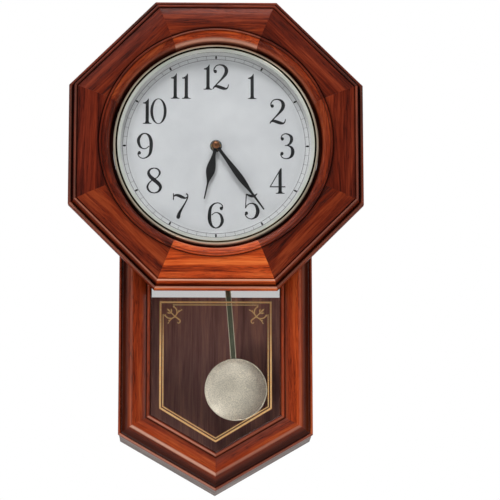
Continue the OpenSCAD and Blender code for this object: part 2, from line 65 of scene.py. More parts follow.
def make_camera():
    pitch = math.radians(CAMERA_PITCH)
    yaw = math.radians(CAMERA_YAW)
    roll = math.radians(CAMERA_ROLL)
    ahead = math.cos(pitch)
    forward = Vector((math.sin(yaw) * ahead, math.cos(yaw) * ahead, math.sin(pitch)))
    level = Vector((math.cos(yaw), -math.sin(yaw), 0))
    upright = level.cross(forward)
    right = math.cos(roll) * level + math.sin(roll) * upright
    top = math.cos(roll) * upright - math.sin(roll) * level
    data = bpy.data.cameras.new("camera")
    data.sensor_width = SENSOR
    data.lens = SENSOR * FOCAL_LENGTH / IMAGE_SIZE
    camera = bpy.data.objects.new("camera", data)
    bpy.context.scene.collection.objects.link(camera)
    turn = Matrix((right, top, -forward)).transposed()
    camera.matrix_world = Matrix.Translation(CAMERA_PLACE) @ turn.to_4x4()
    bpy.context.scene.camera = camera


# ---------------------------------------------------------------- node materials

SOFT = (0.3, 0.7)
PATCHY = (0.35, 0.68)
SEED_STEP = (0.37, 0.11, 0.23)


class Paint:
    """A material while its nodes are being made."""

    def __init__(self, name, **sockets):
        self.material = bpy.data.materials.new(name)
        self.material.use_nodes = True
        self.tree = self.material.node_tree
        self.shader = self.tree.nodes["Principled BSDF"]
        for key, value in sockets.items():
            self.shader.inputs[key.replace("_", " ")].default_value = value
        self.place = self.add("ShaderNodeTexCoord").outputs["Object"]

    def feed(self, socket, value):
        if isinstance(value, bpy.types.NodeSocket):
            self.tree.links.new(value, socket)
        else:
            socket.default_value = value

    def add(self, kind, inputs=None, **settings):
        node = self.tree.nodes.new(kind)
        for key, value in settings.items():
            setattr(node, key, value)
        for key, value in (inputs or {}).items():
            self.feed(node.inputs[key], value)
        return node

    def turned(self, angle, seed=0):
        """The place turned about Y, so that its X runs along a line at that angle above level."""
        node = self.add("ShaderNodeMapping", {0: self.place}, vector_type="TEXTURE")
        node.inputs["Rotation"].default_value = (0, -math.radians(angle), 0)
        node.inputs["Location"].default_value = tuple(step * seed for step in SEED_STEP)
        return node.outputs[0]

    def split(self, vector):
        return self.add("ShaderNodeSeparateXYZ", {0: vector}).outputs

    def stretch(self, vector, scale):
        inputs = {0: vector, 1: scale}
        return self.add("ShaderNodeVectorMath", inputs, operation="MULTIPLY").outputs[0]

    def shift(self, vector, other):
        inputs = {0: vector, 1: other}
        return self.add("ShaderNodeVectorMath", inputs, operation="ADD").outputs[0]

    def noise(self, vector, scale=1, detail=4, roughness=0.55, distortion=0):
        inputs = {
            "Vector": vector, "Scale": scale, "Detail": detail,
            "Roughness": roughness, "Distortion": distortion,
        }
        return self.add("ShaderNodeTexNoise", inputs).outputs[0]

    def noise_colour(self, vector):
        inputs = {"Vector": vector, "Scale": 1, "Detail": 2}
        return self.add("ShaderNodeTexNoise", inputs).outputs[1]

    def sum(self, *terms):
        total = terms[0]
        for term in terms[1:]:
            total = self.maths("ADD", total, term)
        return total

    def maths(self, operation, first, second=0.0, clamp=False):
        inputs = {0: first, 1: second}
        return self.add("ShaderNodeMath", inputs, operation=operation, use_clamp=clamp).outputs[0]

    def times(self, first, second):
        return self.maths("MULTIPLY", first, second)

    def remap(self, value, low, high, to_low=0.0, to_high=1.0):
        inputs = {0: value, 1: low, 2: high, 3: to_low, 4: to_high}
        return self.add("ShaderNodeMapRange", inputs, clamp=True).outputs[0]

    def ramp(self, value, stops):
        node = self.add("ShaderNodeValToRGB", {0: value})
        elements = node.color_ramp.elements
        while len(elements) < len(stops):
            elements.new(0.5)
        for element, (position, colour) in zip(elements, stops):
            element.position = position
            element.color = (*colour, 1)
        return node.outputs[0]

    def mix(self, share, first, second):
        node = self.add("ShaderNodeMix", data_type="RGBA")
        self.feed(node.inputs[0], share)
        for socket, value in ((node.inputs[6], first), (node.inputs[7], second)):
            self.feed(socket, value if isinstance(value, bpy.types.NodeSocket) else (*value, 1))
        return node.outputs[2]

    def mottle(self, cloud, dark, light, between=SOFT):
        """From a dark to a light colour as the noise rises from one value to the other."""
        return self.mix(self.remap(cloud, *between), dark, light)

    def bump(self, height, distance, strength):
        inputs = {"Height": height, "Distance": distance, "Strength": strength}
        return self.add("ShaderNodeBump", inputs).outputs[0]

    def finish(self, colour=None, roughness=None, normal=None):
        for socket, value in (("Base Color", colour), ("Roughness", roughness), ("Normal", normal)):
            if value is not None:
                self.feed(self.shader.inputs[socket], value)
        return self.material


def srgb(red, green, blue):
    """A colour given as it looks on a screen, 0 to 255, as light."""
    def light(value):
        value = value / 255
        return value / 12.92 if value <= 0.04045 else ((value + 0.055) / 1.055) ** 2.4
    return (light(red), light(green), light(blue))


RING_EDGE = 0.1405
RING_BLEND = (RING_EDGE + 0.001, RING_EDGE - 0.0004)
# Painted shade round the turned ring, by radius in mm: in the corner by the bezel, at the inner side of
# the bead, and in and beyond the groove outside it.
RING_SHADE = (
    (126.5, 0.85), (130.2, 0.8), (131.2, 0.1), (139.2, 0.0), (140.3, 0.7), (141.2, 0.1), (142.6, 0.1),
    (143.8, 0.6), (144.6, 0.55), (147.0, 0.12), (151.0, 0.0),
)
# Painted highlight on the turned ring, by radius in mm: on its inner slope and on its bead.
RING_HIGHLIGHT = (
    (130.0, 0.0), (130.4, 0.3), (130.8, 0.8), (131.8, 0.8), (132.6, 0.35), (134.0, 0.0), (141.0, 0.0),
    (141.6, 0.3), (142.2, 0.0),
)
# Painted highlight on the head's mouldings, by distance in mm across the rail from the dial's axis: on
# the crest bead and the outer bead.
EDGE_HIGHLIGHT = (
    (170.0, 0.0), (170.9, 0.0), (171.5, 0.9), (172.7, 0.9), (173.4, 0.0), (177.2, 0.0), (177.9, 0.8),
    (179.6, 0.8), (180.4, 0.0),
)


def wood_grain(paint, angle, seed, wander_by):
    """The place in a frame whose X follows the grain, with the slow wander of real growth."""
    grain = paint.turned(angle, seed)
    wander = paint.noise_colour(paint.stretch(grain, GRAIN_WANDER))
    return paint.shift(grain, paint.stretch(wander, (0, wander_by, wander_by)))


GRAIN_WANDER = (5, 16, 16)
OAK_FIGURE = (4.5, 95, 95)
OAK_FIBRE = (28, 760, 760)
OAK_CLOUD = (9, 24, 24)
OAK_PORE = (75, 2300, 2300)
OAK_SHARES = (0.54, 0.24, 0.22)
PORE_DARKNESS = 0.8
# How far, and how darkly, shade is painted into hollows found by ambient occlusion.
HOLLOW_REACH = 0.009
HOLLOW_SHADE = 0.85
# The pale colour of highlights painted on the oak.
HIGHLIGHT_WOOD = srgb(244, 186, 160)


def tones_ramp(paint, tone, tones, spread):
    return paint.ramp(tone, list(zip((0.5 - spread, 0.5, 0.5 + spread), tones)))


def oak_pores(paint, grain, figure):
    """Open pores, which show more in the dark bands of the figure."""
    pore = paint.noise(paint.stretch(grain, OAK_PORE), detail=2)
    bands = paint.remap(figure, 0.58, 0.42)
    return paint.times(paint.remap(pore, 0.54, 0.66), paint.maths("ADD", bands, 0.25))


def stained_oak(
    name, angle, seed, tones, polish=0.6, shade=None, ring_tones=None, spread=0.105, highlight=None,
):
    """Open-grained oak, stained and lacquered, with its grain along a line at that angle.

    tones are its dark, middle and bright stain, and ring_tones those of the turned ring. shade is a
    further share of painted shade, and highlight a share of pale wood painted as highlight, as functions
    of the paint. Shade is also painted into hollows, darker where the local ambient occlusion finds
    them."""
    paint = Paint(name, Coat_Weight=polish, Coat_Roughness=0.12, Specular_IOR_Level=0.12)
    grain = wood_grain(paint, angle, seed, 0.012)
    figure = paint.noise(paint.stretch(grain, OAK_FIGURE), detail=5, roughness=0.62, distortion=0.6)
    fibre = paint.noise(paint.stretch(grain, OAK_FIBRE), detail=3)
    cloud = paint.noise(paint.stretch(grain, OAK_CLOUD), detail=3)
    tone = paint.sum(*map(paint.times, (figure, fibre, cloud), OAK_SHARES))
    colour = tones_ramp(paint, tone, tones, spread)
    if ring_tones is not None:
        inside = paint.remap(polar(paint, DIAL)[0], *RING_BLEND)
        colour = paint.mix(inside, colour, tones_ramp(paint, tone, ring_tones, spread))
    open_pore = oak_pores(paint, grain, figure)
    deep = tuple(c * 0.2 for c in tones[0])
    filled = paint.maths("MULTIPLY", open_pore, PORE_DARKNESS, clamp=True)
    colour = paint.mix(filled, colour, deep)
    # Painted shade: darker in hollows as the local ambient occlusion finds them, and wherever shade asks
    # for more.
    inputs = {"Distance": HOLLOW_REACH}
    hollow = paint.add("ShaderNodeAmbientOcclusion", inputs, only_local=True, samples=8)
    painted_shade = paint.remap(hollow.outputs["AO"], 0.92, 0.45, 0.0, HOLLOW_SHADE)
    if shade is not None:
        painted_shade = paint.maths("MAXIMUM", painted_shade, shade(paint))
    colour = paint.mix(painted_shade, colour, deep)
    # Painted highlight: pale wood where highlight asks for it.
    if highlight is not None:
        colour = paint.mix(highlight(paint), colour, HIGHLIGHT_WOOD)
    roughness = paint.remap(fibre, *SOFT, 0.36, 0.48)
    height = paint.maths("SUBTRACT", paint.times(fibre, 0.35), open_pore)
    return paint.finish(colour, roughness, paint.bump(height, 0.00012, 0.8))


def share_ramp(paint, distance, table):
    """The share of painted shade, or of painted highlight, at a distance, from a table of (mm, share).
    """
    first, last = table[0][0], table[-1][0]
    share = paint.remap(distance, first * MM, last * MM)
    return paint.ramp(share, [((at - first) / (last - first), (part,) * 3) for at, part in table])


def groove_shade(paint):
    """Painted shade in the groove round the turned ring and in the corner by the bezel."""
    return share_ramp(paint, polar(paint, DIAL)[0], RING_SHADE)


def rail_highlights(index, ring_glint, edge_glint):
    """Painted highlights on the ring and the edges of the head's rail that is so many eighths of a turn
    clockwise from the top.
    """
    outward = (math.sin(math.radians(45 * index)), math.cos(math.radians(45 * index)))

    def share(paint):
        radius, _, local = polar(paint, DIAL)
        split = paint.split(local)
        across = paint.sum(
            paint.times(split[0], outward[0]),
            paint.times(split[2], outward[1]),
        )
        ring = paint.times(share_ramp(paint, radius, RING_HIGHLIGHT), ring_glint)
        edge = paint.times(share_ramp(paint, across, EDGE_HIGHLIGHT), edge_glint)
        return paint.maths("MAXIMUM", ring, edge)
    return share


# Painted shade across the lower frame's moulding, by distance in mm from its outer edge: on the sweep
# under the crest, in the groove and beyond the lip.
MOULDING_SHADE = (
    (0.0, 0.1), (2.6, 0.0), (3.4, 0.9), (9.0, 0.84), (13.4, 0.4), (15.0, 0.0), (27.0, 0.1),
    (32.5, 0.55), (33.6, 0.85), (35.0, 0.05), (37.2, 0.1), (38.6, 0.9), (40.0, 0.9),
)


# Painted highlight across the lower frame's moulding: on the outer bead, the crest and the lip.
MOULDING_HIGHLIGHT = (
    (0.0, 0.0), (0.7, 0.5), (1.9, 0.5), (2.6, 0.0), (13.4, 0.0), (14.8, 0.85), (16.4, 0.85), (18.0, 0.0),
    (34.4, 0.0), (35.4, 0.45), (36.6, 0.45), (37.6, 0.0),
)


def across_moulding(sloping, table, strength=1.0):
    """A table's share across the lower frame's moulding, by distance from its outer edge."""
    low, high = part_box("frame_stile_right")
    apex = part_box("frame_v_rail_left")[0].z
    if sloping:
        inward = Vector((low.z - apex, high.x)).normalized()
        weights = (-inward.x, inward.y, inward.x * high.x - inward.y * low.z)
    else:
        weights = (-1, 0, high.x)

    def share(paint):
        split = paint.split(paint.place)
        out = paint.times(paint.maths("ABSOLUTE", split[0]), weights[0])
        across = paint.sum(out, paint.times(split[2], weights[1]), weights[2])
        return paint.times(share_ramp(paint, across, table), strength)
    return share


def walnut_veneer(name):
    """The dark back panel: upright grain in front, bare board behind."""
    paint = Paint(name, Specular_IOR_Level=0.35)
    grain = wood_grain(paint, 90, 3, 0.012)
    figure = paint.noise(paint.stretch(grain, (5, 70, 70)), detail=5, roughness=0.62, distortion=0.4)
    fibre = paint.noise(paint.stretch(grain, (22, 620, 620)), detail=3)
    tone = paint.sum(paint.times(figure, 0.65), paint.times(fibre, 0.35))
    stops = [(0.32, srgb(114, 76, 69)), (0.50, srgb(160, 112, 103)), (0.68, srgb(206, 146, 122))]
    colour = paint.ramp(tone, stops)
    depth = paint.split(paint.place)[1]
    low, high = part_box("back_panel")
    behind = paint.remap(depth, (low.y + high.y) / 2, (low.y + high.y) / 2 + 0.0005)
    speck = paint.noise(paint.place, 900, detail=4)
    board = paint.ramp(speck, [(0.35, srgb(122, 88, 60)), (0.65, srgb(160, 122, 88))])
    colour = paint.mix(behind, colour, board)
    roughness = paint.remap(fibre, *SOFT, 0.42, 0.58)
    return paint.finish(colour, roughness, paint.bump(fibre, 0.00008, 0.6))


def raw_timber(name, angle, seed, dark, bright):
    """Planed softwood or ply that no one sees from the front."""
    paint = Paint(name, Specular_IOR_Level=0.3)
    grain = wood_grain(paint, angle, seed, 0.014)
    figure = paint.noise(paint.stretch(grain, (3, 75, 75)), detail=5, distortion=0.6)
    fibre = paint.noise(paint.stretch(grain, (26, 700, 700)), detail=3)
    tone = paint.sum(paint.times(figure, 0.7), paint.times(fibre, 0.3))
    colour = paint.ramp(tone, [(0.36, dark), (0.62, bright)])
    rough = paint.remap(fibre, *SOFT, 0.55, 0.75)
    return paint.finish(colour, rough, paint.bump(fibre, 0.0001, 0.7))


def polar(paint, centre):
    """Distance from the axis through centre along Y, depth behind centre, and place from it."""
    local = paint.shift(paint.place, tuple(-c for c in centre))
    flat = paint.stretch(local, (1, 0, 1))
    radius = paint.add("ShaderNodeVectorMath", {0: flat}, operation="LENGTH").outputs["Value"]
    return radius, paint.split(local)[1], local


TURNING_SCALE = 5200
SCRATCH_DEPTH = 0.00002


def spun(paint, centre):
    """Radius, fine turning lines and cloudy polish of metal spun round an axis along Y."""
    radius, depth, local = polar(paint, centre)
    rings = paint.add("ShaderNodeCombineXYZ", {0: radius, 1: depth}).outputs[0]
    lines = paint.noise(paint.stretch(rings, (TURNING_SCALE, TURNING_SCALE, 0)), detail=2)
    return radius, lines, paint.noise(local, 55, detail=4)


def turned_metal(name, colour, centre, roughness):
    """Metal spun and polished round an axis along Y, with fine turning lines."""
    paint = Paint(name, Metallic=1.0)
    _, lines, cloud = spun(paint, centre)
    tint = paint.mottle(cloud, tuple(c * 0.86 for c in colour), colour, PATCHY)
    rough = paint.sum(
        paint.remap(cloud, 0.35, 0.7, roughness, roughness * 1.7),
        paint.times(lines, roughness * 0.5),
    )
    return paint.finish(tint, rough, paint.bump(lines, SCRATCH_DEPTH, 0.5))


BEZEL_LIP = 0.1210
# The band inside the crest that is painted near black, as tarnish and dark reflection.
BEZEL_HOLLOW = (0.1211, 0.1233)
LIP_BLUR = 0.0002
HOLLOW_BLUR = 0.0003


def bezel_brass(name):
    """Pale polished brass with turning lines, and a near-black band inside its crest that is part
    tarnish and part painted dark reflection.

    The lip that holds the glass is satin and nearly white."""
    paint = Paint(name, Metallic=1.0)
    radius, lines, cloud = spun(paint, DIAL)
    lip = paint.remap(radius, BEZEL_LIP + LIP_BLUR, BEZEL_LIP - LIP_BLUR)
    polished = paint.mottle(cloud, srgb(240, 228, 200), srgb(252, 244, 220), PATCHY)
    satin = paint.mottle(cloud, srgb(224, 232, 222), srgb(240, 244, 238), PATCHY)
    rough = paint.sum(
        paint.remap(cloud, 0.35, 0.7, 0.05, 0.09),
        paint.times(lines, 0.04),
        paint.times(lip, 0.32),
    )
    hollow = paint.times(
        paint.remap(radius, BEZEL_HOLLOW[0], BEZEL_HOLLOW[0] + HOLLOW_BLUR),
        paint.remap(radius, BEZEL_HOLLOW[1] + HOLLOW_BLUR, BEZEL_HOLLOW[1]),
    )
    # Painted dark reflection, with some tarnish, in the band inside the crest.
    dark_band = paint.mottle(cloud, srgb(18, 14, 10), srgb(44, 36, 24), PATCHY)
    colour = paint.mix(hollow, paint.mix(lip, polished, satin), dark_band)
    coated = paint.maths("MAXIMUM", lip, paint.maths("SUBTRACT", 0.8, hollow))
    paint.feed(paint.shader.inputs["Metallic"], paint.remap(coated, 0, 1, 1.0, 0.25))
    return paint.finish(colour, rough, paint.bump(lines, SCRATCH_DEPTH, 0.5))


def satin_metal(
    name, colour, scale=900, roughness=0.3, depth=0.00003, speckle=0.0, metallic=1.0,
):
    """Metal with a fine random grain and slight tarnish."""
    paint = Paint(name, Metallic=metallic)
    grain = paint.noise(paint.place, scale, detail=3)
    cloud = paint.noise(paint.place, 60, detail=4)
    tint = paint.mottle(cloud, tuple(c * 0.82 for c in colour), colour, PATCHY)
    pits = paint.remap(grain, 0.42, 0.58, speckle, 0.0)
    tint = paint.mix(pits, tint, tuple(c * 0.45 for c in colour))
    rough = paint.sum(
        paint.remap(cloud, *SOFT, roughness * 0.8, roughness * 1.15),
        paint.times(grain, roughness * 0.3),
    )
    return paint.finish(tint, rough, paint.bump(grain, depth, 0.6))


def moulded(name, colour, roughness=0.4, grain=700, depth=0.00003, **sockets):
    """Moulded plastic or paint: faint flow marks and a fine texture."""
    paint = Paint(name, **sockets)
    fine = paint.noise(paint.place, grain, detail=3)
    cloud = paint.noise(paint.place, 40, detail=3)
    lighter = tuple(min(1, c * 1.22 + 0.004) for c in colour)
    tint = paint.mottle(cloud, colour, lighter)
    rough = paint.remap(cloud, *SOFT, roughness * 0.88, roughness * 1.12)
    return paint.finish(tint, rough, paint.bump(fine, depth, 0.6))


# Radii over which the dial is painted paler, as light against the shade that the bezel and ring cast.
DIAL_LIT_EDGE = (0.106, 0.119)


def enamel_dial(name):
    """The white dial under its print: a soft lacquer, faintly mottled, with light painted near its edge
    where the bezel and ring shade it.
    """
    paint = Paint(name, Coat_Weight=0.25, Coat_Roughness=0.25, Specular_IOR_Level=0.4)
    cloud = paint.noise(paint.place, 26, detail=5, roughness=0.6)
    fine = paint.noise(paint.place, 1400, detail=2)
    tone = paint.sum(paint.times(cloud, 0.85), paint.times(fine, 0.15))
    colour = paint.ramp(tone, [(0.34, srgb(196, 199, 202)), (0.66, srgb(207, 210, 212))])
    # Painted light: paler towards the edge, where the bezel and ring shade the dial.
    lit_edge = paint.remap(polar(paint, DIAL)[0], *DIAL_LIT_EDGE)
    colour = paint.mix(lit_edge, colour, srgb(242, 245, 246))
    rough = paint.remap(cloud, *SOFT, 0.42, 0.52)
    return paint.finish(colour, rough, paint.bump(fine, 0.00002, 0.4))


def printed(name, dark, light, roughness=0.45):
    """A layer of printing ink or gold size, a little uneven in density."""
    paint = Paint(name, Specular_IOR_Level=0.35)
    cloud = paint.noise(paint.place, 420, detail=4, roughness=0.65)
    fine = paint.noise(paint.place, 3000, detail=2)
    colour = paint.mix(paint.remap(cloud, 0.32, 0.68), dark, light)
    rough = paint.remap(cloud, *SOFT, roughness * 0.85, roughness * 1.15)
    return paint.finish(colour, rough, paint.bump(fine, 0.00002, 0.5))


CLEAR = (1, 1, 1)


def window_glass(name):
    """Clear sheet glass. Light passes it without a shadow."""
    paint = Paint(name, Transmission_Weight=1.0, IOR=1.45, Roughness=0.0)
    haze = paint.noise(paint.place, 34, detail=3)
    colour = paint.mottle(haze, tuple(c * 0.985 for c in CLEAR), CLEAR)
    paint.feed(paint.shader.inputs["Base Color"], colour)
    path = paint.add("ShaderNodeLightPath")
    clear = paint.add("ShaderNodeBsdfTransparent")
    either = paint.add("ShaderNodeMixShader", {0: path.outputs["Is Shadow Ray"]})
    paint.tree.links.new(paint.shader.outputs[0], either.inputs[1])
    paint.tree.links.new(clear.outputs[0], either.inputs[2])
    output = paint.tree.nodes["Material Output"]
    paint.tree.links.new(either.outputs[0], output.inputs["Surface"])
    return paint.material


WIRE_PITCH = 0.00022


def wound_copper(name):
    """Enamelled wire, with its close turns side by side along X."""
    paint = Paint(name, Metallic=0.85, Coat_Weight=0.5, Coat_Roughness=0.2)
    along = paint.split(paint.place)[0]
    turns = paint.maths("SINE", paint.times(along, 2 * math.pi / WIRE_PITCH))
    cloud = paint.noise(paint.place, 700, detail=3)
    colour = paint.mottle(cloud, srgb(150, 66, 32), srgb(206, 110, 62))
    return paint.finish(colour, 0.35, paint.bump(turns, 0.00006, 0.8))


ROD_SWING = 4.5
# How far from the rod's middle the painted highlight along its edges starts and becomes full.
ROD_EDGE_GLINT = (0.0027, 0.0030)


def rod_lacquer(name):
    """Grey-green lacquer on the flat rod, with a near-white highlight painted along both edges."""
    paint = Paint(name, Metallic=0.4)
    pivot = middle("pendulum_pin")
    local = paint.shift(paint.place, (-pivot.x, 0, -pivot.z))
    node = paint.add("ShaderNodeMapping", {0: local}, vector_type="TEXTURE")
    node.inputs["Rotation"].default_value = (0, -math.radians(ROD_SWING), 0)
    plumb = node.outputs[0]
    across = paint.maths("ABSOLUTE", paint.split(plumb)[0])
    cloud = paint.noise(paint.stretch(plumb, (900, 900, 60)), detail=3)
    # Painted highlight: near-white along both edges.
    edge = paint.remap(paint.maths("ADD", across, paint.times(cloud, 0.0003)), *ROD_EDGE_GLINT)
    body = paint.mottle(cloud, srgb(96, 102, 82), srgb(124, 130, 106))
    colour = paint.mix(edge, body, srgb(250, 244, 214))
    rough = paint.remap(cloud, *SOFT, 0.3, 0.42)
    return paint.finish(colour, rough, paint.bump(cloud, 0.00002, 0.5))


SLEEVE_SHARE = 0.74


def battery_label(name):
    """A plain shrink sleeve: a dark body and a lighter band at its +X end."""
    paint = Paint(name, Coat_Weight=0.6, Coat_Roughness=0.15)
    along = paint.split(paint.place)[0]
    low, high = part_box("battery")
    edge = low.x + (high.x - low.x) * SLEEVE_SHARE
    band = paint.remap(along, edge - 0.0001, edge + 0.0001)
    cloud = paint.noise(paint.place, 120, detail=3)
    body = paint.mottle(cloud, srgb(22, 26, 34), srgb(32, 37, 46))
    cap = paint.mottle(cloud, srgb(176, 112, 40), srgb(196, 130, 52))
    fine = paint.noise(paint.place, 900, detail=2)
    return paint.finish(paint.mix(band, body, cap), 0.35, paint.bump(fine, 0.00002, 0.4))


def circuit_green(name):
    """Solder mask over tracks that show as slightly raised, lighter runs."""
    paint = Paint(name, Coat_Weight=0.5, Coat_Roughness=0.12)
    inputs = {"Vector": paint.place, "Scale": 420.0}
    cells = paint.add("ShaderNodeTexVoronoi", inputs, feature="DISTANCE_TO_EDGE")
    tracks = paint.remap(cells.outputs[0], 0.05, 0.09)
    fine = paint.noise(paint.place, 1200, detail=2)
    colour = paint.mix(tracks, srgb(22, 84, 52), srgb(12, 56, 36))
    colour = paint.mix(paint.remap(fine, 0.3, 0.9, 0, 0.3), colour, srgb(40, 110, 70))
    raised = paint.maths("SUBTRACT", 1.0, tracks)
    return paint.finish(colour, 0.4, paint.bump(raised, 0.00003, 0.6))


def rubber(name):
    paint = Paint(name, Specular_IOR_Level=0.3, Sheen_Weight=0.1)
    fine = paint.noise(paint.place, 800, detail=4)
    cloud = paint.noise(paint.place, 90, detail=3)
    colour = paint.mottle(cloud, srgb(26, 25, 25), srgb(52, 50, 48))
    rough = paint.remap(fine, *SOFT, 0.62, 0.85)
    return paint.finish(colour, rough, paint.bump(fine, 0.00008, 0.7))


# ---------------------------------------------------------------- CAD nodes: edges and shading

SHARP_ANGLE = 32
FLAT_ANGLE = 0.2
EASE_ANGLE = 40
EASE = 0.0005
BOARD_EASE = 0.0003
SMALL_EASE = 0.0001
BEAD_EASE = 0.0002
NUT_EASE = 0.00015


def corner_key(vector):
    return tuple(round(c * 1e6) for c in vector)


def mark_sharp(mesh):
    """Marks the edges where the faces on the two sides meet at more than SHARP_ANGLE."""
    normals = {}
    for polygon in mesh.polygons:
        ends = [corner_key(mesh.vertices[i].co) for i in polygon.vertices]
        for a, b in zip(ends, ends[1:] + ends[:1]):
            normals.setdefault(frozenset((a, b)), []).append(polygon.normal.copy())
    limit = math.cos(math.radians(SHARP_ANGLE))
    if "sharp_edge" not in mesh.attributes:
        mesh.attributes.new("sharp_edge", "BOOLEAN", "EDGE")
    flags = []
    for edge in mesh.edges:
        ends = frozenset(corner_key(mesh.vertices[i].co) for i in edge.vertices)
        around = normals.get(ends, [])
        worst = min((a.dot(b) for a in around for b in around), default=1)
        flags.append(worst < limit)
    mesh.attributes["sharp_edge"].data.foreach_set("value", flags)


def dress(node, material, ease=0.0):
    """Gives a CAD node its material and clean shading, with its hard edges eased by a modifier."""
    piece = NODES[node]
    mesh = piece.data
    if "custom_normal" in mesh.attributes:
        mesh.attributes.remove(mesh.attributes["custom_normal"])
    mark_sharp(mesh)
    mesh.polygons.foreach_set("use_smooth", [True] * len(mesh.polygons))
    weld = piece.modifiers.new("weld", "WELD")
    weld.merge_threshold = 1e-6
    if ease:
        flat = piece.modifiers.new("flat", "DECIMATE")
        flat.decimate_type = "DISSOLVE"
        flat.angle_limit = math.radians(FLAT_ANGLE)
        round_off = piece.modifiers.new("ease", "BEVEL")
        round_off.width = ease
        round_off.segments = 2
        round_off.limit_method = "ANGLE"
        round_off.angle_limit = math.radians(EASE_ANGLE)
        round_off.harden_normals = True
    for slot in piece.material_slots:
        slot.material = material


# ---------------------------------------------------------------- new pieces

def new_piece(name, mesh, material, body):
    piece = bpy.data.objects.new(name, mesh)
    bpy.context.scene.collection.objects.link(piece)
    mesh.materials.append(material)
    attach(piece, body)


LEAST_AREA = 1e-6


def merged(outlines):
    """One flat triangle net that covers all the outlines, which may overlap."""
    points = []
    faces = []
    for outline in outlines:
        area = sum(a[0] * b[1] - b[0] * a[1] for a, b in zip(outline, outline[1:] + outline[:1]))
        if abs(area) < LEAST_AREA:
            continue
        ordered = outline if area > 0 else outline[::-1]
        faces.append(list(range(len(points), len(points) + len(ordered))))
        points.extend(Vector(p) for p in ordered)
    corners, _, triangles, _, _, sources = delaunay_2d_cdt(points, [], faces, 0, 1e-5)
    return corners, [t for t, source in zip(triangles, sources) if source]


def layer(name, outlines, origin, back, thick, material, body, slot):
    """Outlines in millimetres round origin, in the plane y = back, as a thin solid layer towards -Y."""
    corners, triangles = merged(outlines)
    net = bmesh.new()
    made = {}
    for triangle in triangles:
        for i in triangle:
            if i not in made:
                x, z = corners[i]
                made[i] = net.verts.new((origin.x + x * MM, back, origin.z + z * MM))
        net.faces.new([made[i] for i in triangle])
    bmesh.ops.recalc_face_normals(net, faces=net.faces)
    grown = bmesh.ops.extrude_face_region(net, geom=list(net.faces))
    front = [v for v in grown["geom"] if isinstance(v, bmesh.types.BMVert)]
    bmesh.ops.translate(net, vec=(0, -thick, 0), verts=front)
    bmesh.ops.recalc_face_normals(net, faces=net.faces)
    mesh = bpy.data.meshes.new(name)
    net.to_mesh(mesh)
    net.free()
    new_piece(name, mesh, material, body)


def spline(points, steps=7):
    """A smooth line through points of any dimension."""
    padded = [points[0], *points, points[-1]]
    line = []
    for p0, p1, p2, p3 in zip(padded, padded[1:], padded[2:], padded[3:]):
        for i in range(steps):
            t = i / steps
            line.append(tuple(
                0.5 * (2 * b + (c - a) * t + (2 * a - 5 * b + 4 * c - d) * t * t
                       + (3 * b - a - 3 * c + d) * t ** 3)
                for a, b, c, d in zip(p0, p1, p2, p3)
            ))
    line.append(points[-1])
    return line


def stroke(points, steps=7):
    """A pen stroke through (x, y, width), as a list of triangles."""
    line = spline(points, steps)
    left = []
    right = []
    for i, (x, y, width) in enumerate(line):
        ahead = line[min(i + 1, len(line) - 1)]
        behind = line[max(i - 1, 0)]
        along = Vector((ahead[0] - behind[0], ahead[1] - behind[1])).normalized()
        side = Vector((-along.y, along.x)) * (width + INK_GAIN) / 2
        left.append((x + side.x, y + side.y))
        right.append((x - side.x, y - side.y))
    quads = []
    for i in range(len(line) - 1):
        quads.append([left[i], right[i], right[i + 1]])
        quads.append([left[i], right[i + 1], left[i + 1]])
    return quads


def placed(points, x, y, turn):
    """Points turned by that many degrees, then moved."""
    angle = math.radians(turn)
    return [
        (x + u * math.cos(angle) - v * math.sin(angle), y + u * math.sin(angle) + v * math.cos(angle))
        for u, v in points
    ]


DISC_SIDES = 20


def disc(x, y, radius, tall=None, turn=0):
    """A round or oval dot."""
    turns = [2 * math.pi * i / DISC_SIDES for i in range(DISC_SIDES)]
    points = [(radius * math.cos(a), (tall or radius) * math.sin(a)) for a in turns]
    return placed(points, x, y, turn)


def hoop(inner, outer, height, turns):
    """Quads between two ovals, given as (half width, half height), centred at that height."""
    def at(size, turn):
        return (size[0] * math.cos(turn), height + size[1] * math.sin(turn))
    return [
        [at(inner, a), at(outer, a), at(outer, b), at(inner, b)] for a, b in zip(turns, turns[1:])
    ]


RING_SIDES = 180


def ring(radius, width):
    """A flat ring as quads."""
    inner, outer = radius - width / 2, radius + width / 2
    turns = [math.radians(360 * i / RING_SIDES) for i in range(RING_SIDES + 1)]
    return hoop((inner, inner), (outer, outer), 0, turns)


def moved(outlines, x, y):
    return [[(p[0] + x, p[1] + y) for p in outline] for outline in outlines]


def scaled(outlines, factor):
    return [[(p[0] * factor, p[1] * factor) for p in outline] for outline in outlines]


def half_turn(outlines, height):
    return [[(-p[0], height - p[1]) for p in outline] for outline in outlines]


# ---------------------------------------------------------------- the dial's print

FIGURE_HEIGHT = 31
FIGURE_RADIUS = 87.6
FIGURE_SCALE = 1.04
INK_GAIN = 0.4


def foot(x, half=5.2, stem=1.95):
    """A stem's thin bracketed foot."""
    return [
        (x - half, 0), (x + half, 0), (x + half, 0.9), (x + half - 1.6, 1.1), (x + stem + 0.5, 1.8),
        (x + stem, 3.4), (x - stem, 3.4), (x - stem - 0.5, 1.8), (x - half + 1.6, 1.1), (x - half, 0.9),
    ]


def figure_one():
    stem = [
        (-1.95, 3.1), (1.95, 3.1), (1.9, 31), (1.2, 31), (0.3, 29.4), (-0.9, 27.9), (-2.8, 26.6),
        (-5.0, 26.0), (-5.0, 24.9), (-1.95, 24.4),
    ]
    return [stem, foot(0)]


